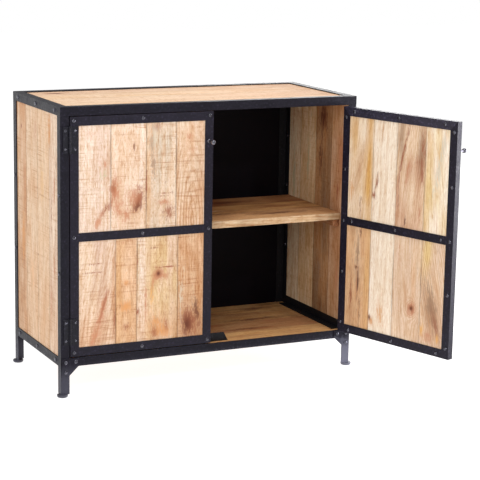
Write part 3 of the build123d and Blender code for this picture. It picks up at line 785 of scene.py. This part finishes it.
         stain(0.05, 0.40, 8, 50, "brown", 0.8), stain(0.12, 0.75, 16, 60, "rose", 0.7),
         shade(0.1, 0.4, 50, 200, "rose", 0.4), stain(0.62, 0.30, 8, 90, "moss", 0.8),
         stain(0.85, 0.4, 10, 120, "moss", 0.8)]),
    "top_boards": (
        [plank("cream", "peach", 0.6), plank("cream", "pale", 0.7),
         plank("cream", "golden", 0.5), plank("pale", "pink", 0.5)],
        [shade(0.5, 0.95, 400, 190, "tan", 0.45), shade(0.5, 0.72, 400, 150, "apricot", 0.35),
         stain(0.15, 0.2, 12, 110, "golden", 0.6), stain(0.6, 0.55, 14, 130, "peach", 0.8),
         stain(0.35, 0.75, 10, 90, "rose", 0.5), stain(0.7, 0.3, 9, 80, "tan", 0.5)]
        + [stain(0.86, 0.11, 12, 40, "brown", 0.95), stain(0.85, 0.115, 9, 22, "umber", 1.0)]),
    "floor_boards": (
        [plank("golden", "tan", 0.8, 0.6), plank("tan", "rose", 0.7, 0.5),
         plank("tan", "golden", 0.8, 0.5), plank("golden", "walnut", 0.7, 0.5)],
        [stain(0.55, 0.8, 16, 130, "umber", 0.75), stain(0.8, 0.6, 16, 130, "brown", 0.9),
         stain(0.3, 0.7, 14, 120, "umber", 0.7), stain(0.65, 0.25, 16, 130, "brown", 0.9),
         stain(0.85, 0.85, 20, 60, "umber", 0.7), stain(0.55, 0.5, 20, 90, "golden", 0.7)]),
    "shelf_boards": (
        [plank("apricot", "tan", 0.8, 0.6), plank("golden", "brown", 0.7, 0.5),
         plank("tan", "brown", 0.8, 0.5)],
        [stain(0.6, 0.5, 16, 120, "rose", 0.9), stain(0.3, 0.6, 12, 150, "umber", 0.75),
         stain(0.2, 0.8, 16, 110, "umber", 0.8), stain(0.8, 0.7, 22, 130, "umber", 0.8),
         stain(0.5, 0.85, 22, 80, "brown", 0.9), stain(0.45, 0.55, 8, 110, "cream", 0.6),
         # Painted light: a pale cream band along the shelf's front edge, as if lit from the front.
         shade(0.0, 0.5, 5, 4000, "cream", 0.85)]),
    "left_shelf_cleat": ([plank("tan", "rose", 0.8)], []),
    "right_shelf_cleat": ([plank("rose", "tan", 0.8)], []),
}

SET_WAYS = {
    "left_side_boards": (-UP, BACK, RIGHT),
    "right_side_boards": (-UP, BACK, RIGHT),
    "top_boards": (RIGHT, BACK, UP),
    "floor_boards": (RIGHT, BACK, UP),
    "shelf_boards": (RIGHT, BACK, UP),
    "left_shelf_cleat": (BACK, RIGHT, UP),
    "right_shelf_cleat": (BACK, RIGHT, UP),
}

BOARD_WOOD = {
    "left_door_upper_boards": FRONT_WOOD, "left_door_lower_boards": FRONT_WOOD,
    "right_door_upper_boards": PLANED_WOOD, "right_door_lower_boards": PLANED_WOOD,
    "right_side_boards": INSIDE_WOOD, "floor_boards": INSIDE_WOOD,
    "shelf_boards": INSIDE_WOOD, "left_shelf_cleat": INSIDE_WOOD,
    "right_shelf_cleat": INSIDE_WOOD,
}

# Painted shade: which wide face of a set is darkened (+1 is the one its third direction points to),
# and what its tone is multiplied by. These are the outer faces of the right door and right side,
# painted darker against the strong light on that side.
PAINTED_SHADE_FACES = {
    "right_door_upper_boards": (-1, 0.74), "right_door_lower_boards": (-1, 0.74),
    "right_side_boards": (1, 0.68),
}

for side in SIDES:
    hinge, run, into = door_axes(side)
    for row in ("upper", "lower"):
        SET_WAYS[f"{side}_door_{row}_boards"] = (-UP, run, into)

for number, (node, (boards, features)) in enumerate(PANELS.items()):
    body = f"{node.split('_')[0]}_door" if "_door_" in node else "cabinet"
    for board in boards:
        board["weathered"] = PAINTED_SHADE_FACES.get(node, (1, 1.0))
    board_set(node, body, SET_WAYS[node], boards, features, 100 * (number + 1),
              BOARD_WOOD.get(node, OUTSIDE_WOOD))


# ---- Rivet heads and knobs ----

HEAD_SIDES = 18             # points round a rivet head
HEAD_DENT = 0.16 * MM       # depth of the hammer's dents
KNOB_SIDES = 40             # points round a knob
KNOB_BASE = 6 * MM          # radius of a knob's foot


def turned(profile, segments, foot, axis, seed=None, dent=0.0):
    """A turned shape: a profile of (radius, height) pairs carried round an axis.

    A point is foot + radius * cos(angle) * side + radius * sin(angle) * other side +
    height * axis. The first and last profile points are closed by flat faces. With
    a dent, the surface is pressed in by that much in a few smooth random places.
    """
    radius, height = np.array(profile).T
    side_way = np.cross(axis, UP if abs(axis[2]) < 0.9 else RIGHT)
    side_way /= np.linalg.norm(side_way)
    other_way = np.cross(axis, side_way)
    angle = np.arange(segments) / segments * TURN
    spin, level = np.tile(angle, len(radius)), np.repeat(height, segments)
    reach = np.repeat(radius, segments)
    if dent:
        dips = smooth_noise(3 + 1.4 * np.cos(spin) + level * 700,
                            9 + 1.4 * np.sin(spin) + level * 500, seed)
        fade = np.clip(level / max(height), 0, 1)
        reach = reach - dent * (dips + 1) * fade
        level = level - 0.8 * dent * (dips + 1) * fade
    points = (foot + reach[:, None] * np.cos(spin)[:, None] * side_way
              + reach[:, None] * np.sin(spin)[:, None] * other_way + level[:, None] * axis)
    faces = tube_faces(len(radius), segments)
    faces.append(list(range(segments))[::-1])
    faces.append(list(range((len(radius) - 1) * segments, len(radius) * segments)))
    return points, faces


def head_place(solid):
    """Foot, axis, radius and rise of one CAD rivet head.

    The axis is the direction in which the head is thinnest, and it points from
    the wide rim to the crown.
    """
    middle = solid.mean(axis=0)
    axis = np.linalg.svd(solid - middle)[2][2]
    heights = (solid - middle) @ axis
    spread = np.linalg.norm(solid - middle - heights[:, None] * axis, axis=1)
    rim_height = heights[spread > spread.max() * 0.98].mean()
    if rim_height > heights.mean():
        axis, heights = -axis, -heights
    low, high = heights.min(), heights.max()
    corner_low, corner_high = solid.min(axis=0), solid.max(axis=0)
    centre = (corner_low + corner_high) / 2
    foot = centre + axis * (low - (centre - middle) @ axis)
    return foot, axis, spread.max(), high - low


def head_profile(radius, rise):
    """A hammered head: a short upright rim, then a flattened dome.

    From rim to crown the radius falls as a cosine to the power 0.8, and the height
    rises as a sine.
    """
    t = np.linspace(0, 1, 7)
    dome_radius = radius * np.cos(t * math.pi / 2) ** 0.8
    dome_height = rise * (0.12 + 0.88 * np.sin(t * math.pi / 2))
    dome_radius[-1] = radius * 0.06
    return [(radius, 0.0)] + list(zip(dome_radius, dome_height))


def hammered_heads(node, body, seed):
    """Replace a CAD node of rivet heads by slightly uneven hammered ones."""
    points, faces, count = [], [], 0
    for number, solid in enumerate(node_solids(node)):
        foot, axis, radius, rise = head_place(solid)
        made = turned(head_profile(radius, rise), HEAD_SIDES, foot, axis, seed + number,
                      HEAD_DENT)
        points.append(made[0])
        faces += [[corner + count for corner in face] for face in made[1]]
        count += len(made[0])
    piece = mesh_piece(f"hammered_{node}", np.concatenate(points), faces, RIVET_IRON)
    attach(piece, body)
    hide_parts(node)


for number, (node, body) in enumerate({
        "frame_rivets": "cabinet", "hinge_post_rivets": "cabinet",
        "left_door_rivets": "left_door", "right_door_rivets": "right_door"}.items()):
    hammered_heads(node, body, 5000 + 200 * number)


def knob_profile(base, reach, ball):
    """A turned pull: a flared base, a waisted stem and a ball.

    Along the stem the radius falls from the base with the fifth power of the distance
    that is left, and widens a little again with the cube of the distance covered.
    """
    stem = base * 0.45
    t = np.linspace(0, 1, 12)
    flare = [(base, 0.0), (base, 0.25 * base), (base * 0.93, 0.33 * base)]
    waist_end = reach - ball * 0.98
    waist = [(stem + (base * 0.86 - stem) * (1 - s) ** 5 + stem * 0.12 * s ** 3,
              0.36 * base + (waist_end - 0.36 * base) * s) for s in t]
    start = math.asin(stem * 1.12 / ball)
    arc = [(ball * math.sin(a), reach - ball * math.cos(a))
           for a in np.linspace(start, math.pi * 0.985, 22)]
    return flare + waist + arc


for side in SIDES:
    node = f"{side}_door_knob"
    hinge, run, into = door_axes(side)
    places = node_points(node) - hinge
    over, depth, tall = places @ run, places @ into, places @ UP
    ball = (over.max() - over.min()) / 2
    foot = (hinge + run * (over.max() + over.min()) / 2 + into * depth.max()
            + UP * (tall.max() + tall.min()) / 2)
    reach = depth.max() - depth.min() - ball
    points, faces = turned(knob_profile(KNOB_BASE, reach, ball), KNOB_SIDES, foot, -into)
    piece = mesh_piece(f"turned_{node}", points, faces, KNOB_IRON)
    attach(piece, f"{side}_door")
    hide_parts(node)


# ---- Floor, light and camera ----

def studio_floor():
    """A wide pale floor, lit a little from within so that it stays pale in the shade."""
    half, drop = 12.0, 0.5 * MM
    corners = np.array(((-half, -half, -drop), (half, -half, -drop),
                        (half, half, -drop), (-half, half, -drop)))
    shader = Shader("pale_floor", Base_Color=rgba((0.4, 0.4, 0.4)), Roughness=0.9,
                    Emission_Color=rgba((1, 1, 1)), Emission_Strength=0.86,
                    Specular_IOR_Level=0.0)
    mesh_piece("studio_floor", corners, [(0, 1, 2, 3)], shader.material, smooth=False)


studio_floor()


def soft_light(name, place, aim, size, power, colour=(1, 1, 1)):
    """A rectangular studio light at a place, turned towards an aim."""
    data = bpy.data.lights.new(name, "AREA")
    data.shape = "RECTANGLE"
    data.size, data.size_y = size
    data.energy = power
    data.color = colour
    light = bpy.data.objects.new(name, data)
    light.location = place
    light.rotation_euler = (Vector(aim) - Vector(place)).to_track_quat("-Z", "Y").to_euler()
    light.visible_camera = False
    bpy.context.collection.objects.link(light)


soft_light("front_left_softbox", (-2.6, -3.3, 2.4), (0, 0, 0.45), (2.0, 2.0), 63, (0.98, 0.98, 1))
soft_light("right_softbox", (2.4, -1.4, 0.45), (0.4, -0.4, 0.4), (0.9, 1.6), 92, (0.94, 0.93, 1))
soft_light("top_softbox", (0.2, -0.6, 3.2), (0, 0, 0.4), (2.5, 2.0), 56)
soft_light("back_wall_light", (-1.6, 4.0, 1.0), (-0.4, 0, 0.5), (3.6, 3.0), 20)
soft_light("back_right_light", (3.0, 3.6, 1.5), (0.4, 0, 0.8), (2.4, 1.8), 58)
soft_light("left_wall_light", (-4.2, 0.8, 1.2), (0.2, -0.2, 0.5), (5.0, 3.0), 36, (0.9, 0.94, 1))
soft_light("small_spark", (1.1, -3.4, 2.6), (0, 0, 0.4), (0.22, 0.22), 28)


def studio_world(surround):
    """White where the camera sees it; a dimmer grey where it lights and is reflected."""
    world = bpy.data.worlds.new("studio")
    world.use_nodes = True
    tree = world.node_tree
    rays = tree.nodes.new("ShaderNodeLightPath")
    colour = tree.nodes.new("ShaderNodeMix")
    colour.data_type = "RGBA"
    colour.inputs[6].default_value = rgba((surround, surround, surround))
    colour.inputs[7].default_value = (1, 1, 1, 1)
    tree.links.new(rays.outputs["Is Camera Ray"], colour.inputs[0])
    tree.links.new(colour.outputs[2], tree.nodes["Background"].inputs["Color"])
    bpy.context.scene.world = world


studio_world(0.42)
bpy.context.scene.view_settings.view_transform = "Standard"
bpy.context.scene.view_settings.look = "None"

camera_data = bpy.data.cameras.new("camera")
camera_data.sensor_width = 36.0
camera_data.lens = 125.2
camera = bpy.data.objects.new("camera", camera_data)
CAMERA_PLACE = (-1.925, -4.371, 1.339)
YAW, PITCH, ROLL = (math.radians(angle) for angle in (25.737, 11.424, 1.023))
camera.matrix_world = (
    Matrix.Translation(CAMERA_PLACE)
    @ Matrix.Rotation(-YAW, 4, "Z") @ Matrix.Rotation(math.pi / 2 - PITCH, 4, "X")
    @ Matrix.Rotation(ROLL, 4, "Z"))
bpy.context.collection.objects.link(camera)
bpy.context.scene.camera = camera

bpy.context.view_layer.update()
